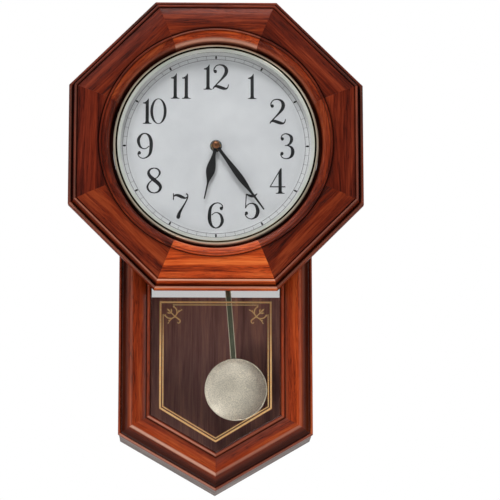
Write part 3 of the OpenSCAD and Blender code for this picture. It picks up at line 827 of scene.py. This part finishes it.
def figure_two():
    arch = stroke([
        (-7.7, 22.0, 0.9), (-7.7, 25.6, 0.9), (-4.9, 29.5, 0.9), (-0.4, 30.6, 1.1), (4.3, 29.0, 2.4),
        (6.8, 24.8, 3.8), (6.1, 19.8, 3.6), (2.7, 14.8, 2.4), (-1.8, 9.8, 1.4), (-6.3, 5.0, 1.0),
        (-8.8, 1.5, 0.9),
    ])
    base = stroke([
        (-9.0, 0.9, 0.9), (-7.8, 3.2, 1.4), (-4.9, 4.3, 2.9), (-0.9, 3.1, 3.6), (3.4, 1.7, 3.3),
        (6.6, 1.3, 1.9), (8.6, 3.1, 1.0), (9.4, 6.6, 0.6),
    ])
    return [*arch, *base, disc(-6.2, 22.4, 1.9, 2.2)]


def figure_three():
    upper = stroke([
        (-7.2, 24.2, 0.8), (-6.4, 28.1, 0.8), (-3.0, 30.6, 0.8), (1.3, 30.1, 1.5), (4.7, 27.2, 3.0),
        (5.2, 22.9, 3.3), (3.1, 18.6, 2.2), (-0.4, 16.6, 0.8), (-2.8, 16.2, 0.6),
    ])
    lower = stroke([
        (-2.6, 16.3, 0.6), (1.2, 16.2, 0.9), (5.2, 13.9, 2.6), (6.6, 9.0, 3.8), (5.4, 4.2, 3.2),
        (2.0, 1.1, 1.4), (-2.4, 0.5, 0.8), (-6.3, 2.3, 0.8), (-7.9, 5.8, 0.8),
    ])
    return [*upper, *lower, disc(-5.6, 24.4, 1.8, 2.1), disc(-6.2, 6.6, 1.9, 2.2)]


def figure_four():
    stem = [(0.8, 3.1), (4.7, 3.1), (4.7, 31), (3.7, 31), (0.8, 26.6)]
    slant = [(3.0, 30.4), (4.4, 30.6), (-7.9, 9.2), (-9.7, 8.4)]
    bar = [(-9.7, 7.7), (9.0, 7.7), (9.0, 9.1), (-9.2, 9.1)]
    return [stem, slant, bar, foot(2.75)]


def figure_five():
    flag = stroke([
        (-6.4, 30.5, 0.9), (-3.6, 28.9, 2.2), (0, 27.9, 3.0), (3.4, 28.4, 2.4), (6.6, 31.0, 0.5),
    ])
    upright = stroke([(-6.3, 30.6, 0.9), (-6.8, 22.0, 0.8), (-7.4, 13.2, 0.7)])
    bowl = stroke([
        (-7.4, 13.2, 0.7), (-5.6, 16.5, 0.8), (-2.4, 18.8, 0.9), (1.4, 18.9, 1.4), (5.2, 16.2, 2.9),
        (7.1, 10.4, 3.9), (5.9, 4.6, 3.3), (2.3, 1.1, 1.5), (-1.6, 0.5, 0.8), (-5.8, 2.5, 0.8),
        (-7.9, 6.3, 0.8),
    ])
    return [*flag, *upright, *bowl, disc(-6.2, 7.2, 1.9, 2.2)]


def figure_six():
    body = stroke([
        (8.0, 24.4, 0.8), (7.4, 27.7, 0.8), (4.4, 30.3, 0.8), (0.6, 30.7, 0.9), (-3.6, 28.6, 1.7),
        (-6.5, 24.2, 2.9), (-7.6, 16.6, 3.7), (-7.3, 9.4, 3.6), (-4.9, 3.3, 2.6), (-0.6, 0.7, 1.0),
        (3.8, 2.0, 1.8), (6.9, 6.4, 3.1), (7.4, 11.0, 3.2), (5.5, 16.4, 2.2), (2.0, 19.0, 0.9),
        (-1.5, 18.8, 0.7), (-5.2, 16.0, 0.7),
    ])
    return [*body, disc(6.3, 24.2, 1.9, 2.2)]


def figure_seven():
    tick = stroke([(-7.9, 30.8, 0.9), (-7.8, 27.2, 0.9), (-8.0, 22.8, 0.9)])
    flag = stroke([
        (-8.0, 27.0, 0.8), (-5.2, 28.6, 2.2), (-1.6, 28.1, 3.2), (2.2, 26.4, 3.3), (6.0, 25.2, 1.6),
        (8.4, 26.4, 0.9),
    ])
    leg = stroke([
        (6.9, 30.6, 1.3), (8.8, 28.9, 1.1), (8.7, 25.6, 1.1), (6.5, 20.4, 1.3), (2.3, 13.0, 2.0),
        (-0.9, 7.0, 3.2), (-2.2, 2.2, 4.3),
    ])
    return [*tick, *flag, *leg, disc(-2.2, 2.2, 2.15)]


def figure_eight():
    loop = [
        (0, 30.6, 0.8), (-4.5, 29.0, 1.6), (-6.6, 24.8, 2.8), (-4.6, 20.4, 3.6), (0, 16.2, 4.2),
        (5.1, 11.8, 4.0), (7.6, 7.4, 3.2), (5.5, 2.5, 2.0), (0.3, 0.5, 0.9), (-5.0, 2.2, 1.5),
        (-7.8, 7.2, 2.0), (-6.0, 12.2, 1.4), (-1.5, 16.4, 0.9), (3.8, 19.4, 1.0), (6.7, 24.6, 1.9),
        (4.5, 29.0, 1.5), (0, 30.6, 0.8),
    ]
    return stroke(loop)


NOUGHT_SIDES = 64


def figure_nought():
    turns = [2 * math.pi * i / NOUGHT_SIDES for i in range(NOUGHT_SIDES + 1)]
    return hoop((6.3, 14.7), (9.7, 15.6), FIGURE_HEIGHT / 2, turns)


def dial_figures():
    """What stands at each hour, as outlines centred on the figure."""
    one = figure_one()
    made = {
        1: moved(one, 0.8, 0),
        2: figure_two(),
        3: figure_three(),
        4: figure_four(),
        5: figure_five(),
        6: figure_six(),
        7: figure_seven(),
        8: figure_eight(),
        9: half_turn(figure_six(), FIGURE_HEIGHT),
        10: moved(one, -8.6, 0) + moved(figure_nought(), 4.7, 0),
        11: moved(one, -6.4, 0) + moved(one, 6.8, 0),
        12: moved(one, -9.6, 0) + moved(figure_two(), 5.4, 0),
    }
    drop = -FIGURE_HEIGHT / 2
    return {hour: scaled(moved(shape, 0, drop), FIGURE_SCALE) for hour, shape in made.items()}


TRACK_RADII = (110.0, 114.8)
TRACK_WIDTH = 0.5
MARK_RADIUS = 112.6
MARK_SIZE = (2.3, 4.5)
TICK_HALF = 0.17
TICK_INSET = 0.6
INK_THICKNESS = 0.00006
TRACK_THICKNESS = INK_THICKNESS * 0.8


def print_dial(ink, grey):
    for hour, outlines in dial_figures().items():
        angle = math.radians(30 * hour)
        shape = moved(outlines, FIGURE_RADIUS * math.sin(angle), FIGURE_RADIUS * math.cos(angle))
        layer(f"figure_{hour}", shape, DIAL, DIAL_FRONT, INK_THICKNESS, ink, "case", "black_hand")
    marks = []
    ticks = []
    for minute in range(60):
        angle = math.radians(6 * minute)
        centre = Vector((math.sin(angle), math.cos(angle)))
        side = Vector((centre.y, -centre.x))
        if minute % 5 == 0:
            place = centre * MARK_RADIUS
            wide, tall = MARK_SIZE
            marks.append(disc(place.x, place.y, wide / 2, tall / 2, -6 * minute))
        else:
            near, far = centre * (TRACK_RADII[0] - TICK_INSET), centre * TRACK_RADII[1]
            edge = side * TICK_HALF
            ticks.append([tuple(p) for p in (near - edge, near + edge, far + edge, far - edge)])
    layer("hour_marks", marks, DIAL, DIAL_FRONT, INK_THICKNESS, ink, "case", "black_hand")
    rings = [quad for radius in TRACK_RADII for quad in ring(radius, TRACK_WIDTH)]
    track = rings + ticks
    layer("minute_track", track, DIAL, DIAL_FRONT, TRACK_THICKNESS, grey, "case", "black_hand")


# ---------------------------------------------------------------- the gold on the glass

BORDER_HALF = 67.3
BORDER_TOP = -296.6
BORDER_CORNER = -426.8
BORDER_APEX = -467.4
BORDER_WIDE = 2.2
BORDER_THIN = 1.15
BORDER_GAP = 3.3
BORDER_CUT = 11.5
GOLD_THICKNESS = 0.00006


def bar(start, end, width):
    a, b = Vector(start), Vector(end)
    side = (b - a).normalized()
    side = Vector((-side.y, side.x)) * width / 2
    return [tuple(a + side), tuple(b + side), tuple(b - side), tuple(a - side)]


def border(inset, width, cut=0.0):
    """The five-sided line, moved in by inset. cut leaves that much out at each upper corner."""
    half = BORDER_HALF - inset
    top = BORDER_TOP - inset
    slope = (BORDER_CORNER - BORDER_APEX) / BORDER_HALF
    apex = BORDER_APEX + inset * math.hypot(1, slope)
    corner = apex + slope * half
    lines = [bar((-half + cut, top), (half - cut, top), width)]
    for side in (-1, 1):
        lines.append(bar((side * half, top - cut), (side * half, corner), width))
        lines.append(bar((side * half, corner), (0, apex), width))
        lines.append(disc(side * half, corner, width / 2))
        if not cut:
            grow = width / 2
            left, right = side * half - grow, side * half + grow
            low, high = top - grow, top + grow
            lines.append([(left, low), (right, low), (right, high), (left, high)])
    lines.append(disc(0, apex, width / 2))
    return lines


def leaf(x, y, length, width, turn):
    """A pointed leaf from its stalk end."""
    outline = []
    for share, half in ((0, 0.12), (0.2, 0.62), (0.45, 1.0), (0.7, 0.72), (0.9, 0.26), (1.0, 0.0)):
        outline.append((share * length, half * width / 2))
    outline += [(u, -v) for u, v in outline[-2::-1]]
    return placed(outline, x, y, turn)


def spray():
    """A corner sprig, drawn for the corner at the origin with the border along +X and +Y.

    It mirrors about its own diagonal: a three-leaved bud towards the corner, two scrolls that curl
    back to the thin line, a tendril outside each, and a hooked stem."""
    half = [
        *stroke([(14.6, 14.2, 1.3), (16.6, 10.4, 1.2), (16.0, 5.4, 1.3), (12.4, 1.6, 1.0)], 8),
        disc(12.9, 2.2, 1.2),
        *stroke([(16.6, 11.6, 0.6), (18.7, 8.8, 0.8), (22.4, 6.2, 0.6)], 6),
        leaf(18.2, 9.0, 3.6, 1.5, -62),
        disc(22.6, 6.1, 0.8),
        *stroke([(14.0, 14.0, 1.0), (11.2, 11.0, 0.9), (8.2, 8.2, 0.8)], 5),
        leaf(10.4, 9.6, 5.4, 2.1, 262),
    ]
    mirrored = [[(y, x) for x, y in outline] for outline in half]
    stem = [
        leaf(8.8, 8.8, 6.2, 2.4, 225),
        disc(14.3, 14.3, 1.5),
        *stroke([(14.2, 14.2, 1.5), (18.0, 17.0, 1.4), (20.6, 19.4, 1.3), (20.0, 22.2, 1.0)], 8),
        *stroke([(20.0, 22.2, 1.0), (18.4, 22.6, 0.9), (17.6, 21.2, 0.8)], 4),
    ]
    return half + mirrored + stem


def gild_glass(gold):
    origin = Vector((0, 0, 0))
    place = (GLASS_BACK + GOLD_THICKNESS, GOLD_THICKNESS)
    layer("border_outer", border(0, BORDER_WIDE), origin, *place, gold, "case", "polished_brass")
    layer("border_inner", border(BORDER_GAP, BORDER_THIN, BORDER_CUT), origin, *place, gold,
          "case", "polished_brass")
    for side, name in ((1, "left"), (-1, "right")):
        x = -side * (BORDER_HALF - BORDER_GAP)
        z = BORDER_TOP - BORDER_GAP
        shape = [[(x + side * u, z - v) for u, v in outline] for outline in spray()]
        layer(f"corner_spray_{name}", shape, origin, *place, gold, "case", "polished_brass")


# ---------------------------------------------------------------- room and lights

ROOM_UPWARD = ((0.0, 0.3), (0.22, 0.3), (0.36, 0.03), (0.66, 0.02), (0.80, 0.75), (1.0, 0.95))
ROOM_DEPTH = ((0.0, 0.1), (0.45, 0.12), (0.62, 1.0), (1.0, 1.0))
ROOM_STRENGTH = 0.55


def room_ramp(tree, socket, stops):
    """Brightness along one direction of the room, from (share of the way, level)."""
    scaled_to = tree.nodes.new("ShaderNodeMapRange")
    scaled_to.inputs[1].default_value = -1
    tree.links.new(socket, scaled_to.inputs[0])
    node = tree.nodes.new("ShaderNodeValToRGB")
    tree.links.new(scaled_to.outputs[0], node.inputs[0])
    elements = node.color_ramp.elements
    while len(elements) < len(stops):
        elements.new(0.5)
    for element, (position, level) in zip(elements, stops):
        element.position = position
        element.color = (level, level, level, 1)
    return node.outputs[0]


def room_light(tree):
    """The lighter of the two ramps, upward and towards the back, as light."""
    direction = tree.nodes.new("ShaderNodeTexCoord").outputs["Generated"]
    split = tree.nodes.new("ShaderNodeSeparateXYZ")
    tree.links.new(direction, split.inputs[0])
    joined = tree.nodes.new("ShaderNodeMix")
    joined.data_type = "RGBA"
    joined.blend_type = "LIGHTEN"
    joined.inputs[0].default_value = 1
    tree.links.new(room_ramp(tree, split.outputs[2], ROOM_UPWARD), joined.inputs[6])
    tree.links.new(room_ramp(tree, split.outputs[1], ROOM_DEPTH), joined.inputs[7])
    room = tree.nodes.new("ShaderNodeBackground")
    tree.links.new(joined.outputs[2], room.inputs[0])
    room.inputs[1].default_value = ROOM_STRENGTH
    return room.outputs[0]


def make_world():
    """A white room with a darker front, for metal and lacquer to reflect. The camera sees white."""
    world = bpy.data.worlds.new("studio")
    bpy.context.scene.world = world
    world.use_nodes = True
    tree = world.node_tree
    tree.nodes.clear()
    plain = tree.nodes.new("ShaderNodeBackground")
    plain.inputs[0].default_value = (1, 1, 1, 1)
    plain.inputs[1].default_value = 1.0
    path = tree.nodes.new("ShaderNodeLightPath")
    either = tree.nodes.new("ShaderNodeMixShader")
    tree.links.new(path.outputs["Is Camera Ray"], either.inputs[0])
    tree.links.new(room_light(tree), either.inputs[1])
    tree.links.new(plain.outputs[0], either.inputs[2])
    output = tree.nodes.new("ShaderNodeOutputWorld")
    tree.links.new(either.outputs[0], output.inputs[0])


LIGHT_TARGET = Vector((0, -0.05, -0.2))
LIGHTS = (
    ("top", (-0.45, -1.35, 1.95), (1.6, 0.6), 31),
    ("low", (-0.95, -1.45, -1.25), (0.9, 0.35), 4.5),
    ("left", (-2.1, -1.75, -0.1), (0.5, 1.4), 6),
    ("right", (2.0, -1.75, -0.3), (0.5, 1.4), 7),
)


def soft_light(name, place, size, power):
    data = bpy.data.lights.new(name, "AREA")
    data.shape = "RECTANGLE"
    data.size, data.size_y = size
    data.energy = power
    light = bpy.data.objects.new(name, data)
    bpy.context.scene.collection.objects.link(light)
    light.location = place
    aim = (LIGHT_TARGET - Vector(place)).to_track_quat("-Z", "Y")
    light.rotation_mode = "QUATERNION"
    light.rotation_quaternion = aim


FLOOR_HALF = 4.0
FLOOR_TONES = ((0.3, (0.80, 0.80, 0.79)), (0.7, (0.86, 0.86, 0.85)))


def make_floor():
    paint = Paint("pale_floor", Specular_IOR_Level=0.3)
    cloud = paint.noise(paint.place, 3, detail=4)
    fine = paint.noise(paint.place, 220, detail=3)
    colour = paint.ramp(cloud, FLOOR_TONES)
    material = paint.finish(colour, 0.7, paint.bump(fine, 0.0002, 0.3))
    mesh = bpy.data.meshes.new("floor")
    ways = ((-1, -1), (1, -1), (1, 1), (-1, 1))
    corners = [(x * FLOOR_HALF, y * FLOOR_HALF, FLOOR_Z) for x, y in ways]
    mesh.from_pydata(corners, [], [(0, 1, 2, 3)])
    mesh.materials.append(material)
    floor = bpy.data.objects.new("floor", mesh)
    bpy.context.scene.collection.objects.link(floor)


# ---------------------------------------------------------------- which node gets which finish

def stain(warmth):
    """The dark, middle and bright tones of the stain, from 0, a cool wine red, to 1, orange."""
    cool = (srgb(38, 9, 6), srgb(88, 23, 14), srgb(136, 43, 26))
    warm = (srgb(112, 32, 8), srgb(210, 80, 32), srgb(253, 128, 62))
    return [tuple(a + (b - a) * warmth for a, b in zip(*pair)) for pair in zip(cool, warm)]


# node, grain angle, warmth of the stain, warmth in the ring, painted highlight on the ring and on the
# edge. Warmth varies from rail to rail as real stain does, and is also painted light: brighter and more
# orange where light falls on level grain and on the ring's top and bottom.
HEAD_RAILS = (
    ("head_rail_top", 0, 0.25, 1.1, 1.0, 0.03), ("head_rail_top_right", -45, 0.15, 0.5, 0.12, 0.05),
    ("head_rail_right", 90, 0.12, 0.3, 0.0, 0.12), ("head_rail_bottom_right", 45, 0.2, 0.25, 0.0, 0.2),
    ("head_rail_bottom", 0, 1.2, 1.1, 0.25, 0.95), ("head_rail_bottom_left", -45, 0.25, 0.15, 0.0, 0.35),
    ("head_rail_left", 90, 0.08, 0.1, 0.0, 0.12), ("head_rail_top_left", 45, 0.15, 0.45, 0.12, 0.05),
)
# node, grain angle, warmth of the stain, painted highlight on the moulding
LOWER_RAILS = (
    ("frame_stile_left", 90, 0.55, 0.12), ("frame_stile_right", 90, 0.8, 0.12),
    ("frame_v_rail_left", -30, 0.6, 1.0), ("frame_v_rail_right", 30, 0.5, 0.35),
)
CASE_BOARDS = (
    ("side_board_left", 90, 0.1), ("side_board_right", 90, 0.1), ("top_board", 0, 0.1),
    ("frame_top_rail", 0, 0.2),
)


def finish_woodwork():
    for index, (node, angle, warmth, ring, ring_glint, edge_glint) in enumerate(HEAD_RAILS):
        oak = stained_oak(
            f"oak_{node}", angle, index + 1, stain(warmth), polish=0.06, shade=groove_shade,
            ring_tones=stain(ring), spread=0.125, highlight=rail_highlights(index, ring_glint, edge_glint),
        )
        dress(node, oak, EASE)
    for seed, (node, angle, warmth, glint) in enumerate(LOWER_RAILS):
        sloping = "v_rail" in node
        oak = stained_oak(
            f"oak_{node}", angle, seed + 9, stain(warmth), polish=0.2,
            shade=across_moulding(sloping, MOULDING_SHADE), spread=0.16,
            highlight=across_moulding(sloping, MOULDING_HIGHLIGHT, glint),
        )
        dress(node, oak, EASE)
    for seed, (node, angle, warmth) in enumerate(CASE_BOARDS):
        dress(node, stained_oak(f"oak_{node}", angle, seed + 14, stain(warmth), 0.15), EASE)
    # Pale grey tones on the undersides: painted reflection of the pale room at a grazing angle.
    grazing_sheen = [srgb(82, 62, 56), srgb(128, 104, 96), srgb(166, 142, 134)]
    for side, angle in (("left", -30), ("right", 30)):
        node = f"bottom_board_{side}"
        dress(node, stained_oak(f"oak_{node}", angle, 17, grazing_sheen, 0.15), EASE)
    dress("back_panel", walnut_veneer("walnut_panel"), BOARD_EASE)
    ply = raw_timber("birch_ply", 0, 5, srgb(178, 140, 98), srgb(214, 182, 138))
    pine = raw_timber("pine_blocks", 0, 8, srgb(188, 146, 96), srgb(222, 190, 142))
    dress("dial_board", ply, BOARD_EASE)
    dress("hanger_rail", pine, EASE)
    dress("glue_blocks", pine, EASE)
    dress("glass_beads", stained_oak("oak_beads", 90, 31, stain(0.2)), BEAD_EASE)


def finish_dial():
    dress("bezel", bezel_brass("bezel_brass"))
    dress("bezel_pins", satin_metal("pin_brass", srgb(206, 172, 104), roughness=0.25))
    dress("dial_plate", enamel_dial("dial_enamel"))
    glass = window_glass("clear_glass")
    dress("dial_glass", glass)
    dress("lower_glass", glass)
    dress("glass_gasket", rubber("gasket_rubber"))
    gloss = {"Coat_Weight": 0.3, "Coat_Roughness": 0.2}
    black = moulded("hand_black", srgb(16, 16, 18), 0.3, 900, 0.00002, **gloss)
    dress("hour_hand", black, SMALL_EASE)
    dress("minute_hand", black, SMALL_EASE)
    nut = turned_metal("nut_brass", srgb(150, 104, 74), middle("hand_nut"), 0.2)
    dress("hand_nut", nut, NUT_EASE)


def finish_movement():
    machined = turned_metal("machined_brass", srgb(206, 172, 104), DIAL, 0.2)
    for node in ("minute_arbor", "movement_bush", "bush_nut"):
        dress(node, machined)
    gear = moulded("gear_plastic", srgb(214, 208, 190), 0.35, 500, 0.00002, Subsurface_Weight=0.05)
    for node in ("hour_wheel", "minute_wheel"):
        dress(node, gear)
    case_black = moulded("movement_plastic", srgb(30, 30, 32), 0.42, 1600, 0.00006)
    for node in ("movement_case", "movement_cover", "set_knob"):
        dress(node, case_black, BOARD_EASE)
    dress("circuit_board", circuit_green("circuit_green"))
    for node in ("motor_coil", "drive_coil"):
        dress(node, wound_copper(f"copper_{node}"))
    dress("battery", battery_label("battery_sleeve"))
    steel = satin_metal("plated_steel", srgb(196, 198, 200), 1400, 0.24)
    for node in (
        "battery_contacts", "bush_washer", "back_panel_screws", "dial_board_screws", "hanger_screws",
        "hanger_plate", "movement_cover_screws", "pendulum_pin",
    ):
        dress(node, steel)
    dress("wall_bumpers", rubber("bumper_rubber"), BOARD_EASE)


def finish_pendulum():
    dress("pendulum_hanger", satin_metal("hanger_steel", srgb(190, 190, 186), 1200, 0.26))
    dress("pendulum_magnet", satin_metal("magnet_nickel", srgb(176, 176, 178), 700, 0.2))
    dress("pendulum_rod", rod_lacquer("rod_lacquer"), SMALL_EASE)
    champagne = satin_metal("bob_champagne", srgb(252, 243, 222), 1000, 0.42, 0.00012, 0.6, 0.5)
    dress("pendulum_bob", champagne)
    dress("bob_back", moulded("bob_backing", srgb(70, 68, 64), 0.5))
    dress("bob_clips", satin_metal("clip_steel", srgb(186, 188, 190), 1200, 0.26))


bpy.context.scene.view_settings.view_transform = "Standard"
make_camera()
make_world()
for lamp in LIGHTS:
    soft_light(*lamp)
make_floor()
finish_woodwork()
finish_dial()
finish_movement()
finish_pendulum()
print_dial(
    printed("dial_ink", srgb(10, 10, 12), srgb(26, 26, 30)),
    printed("track_ink", srgb(70, 68, 74), srgb(96, 94, 100)),
)
gild_glass(printed("gold_size", srgb(255, 212, 146), srgb(255, 234, 184), 0.4))
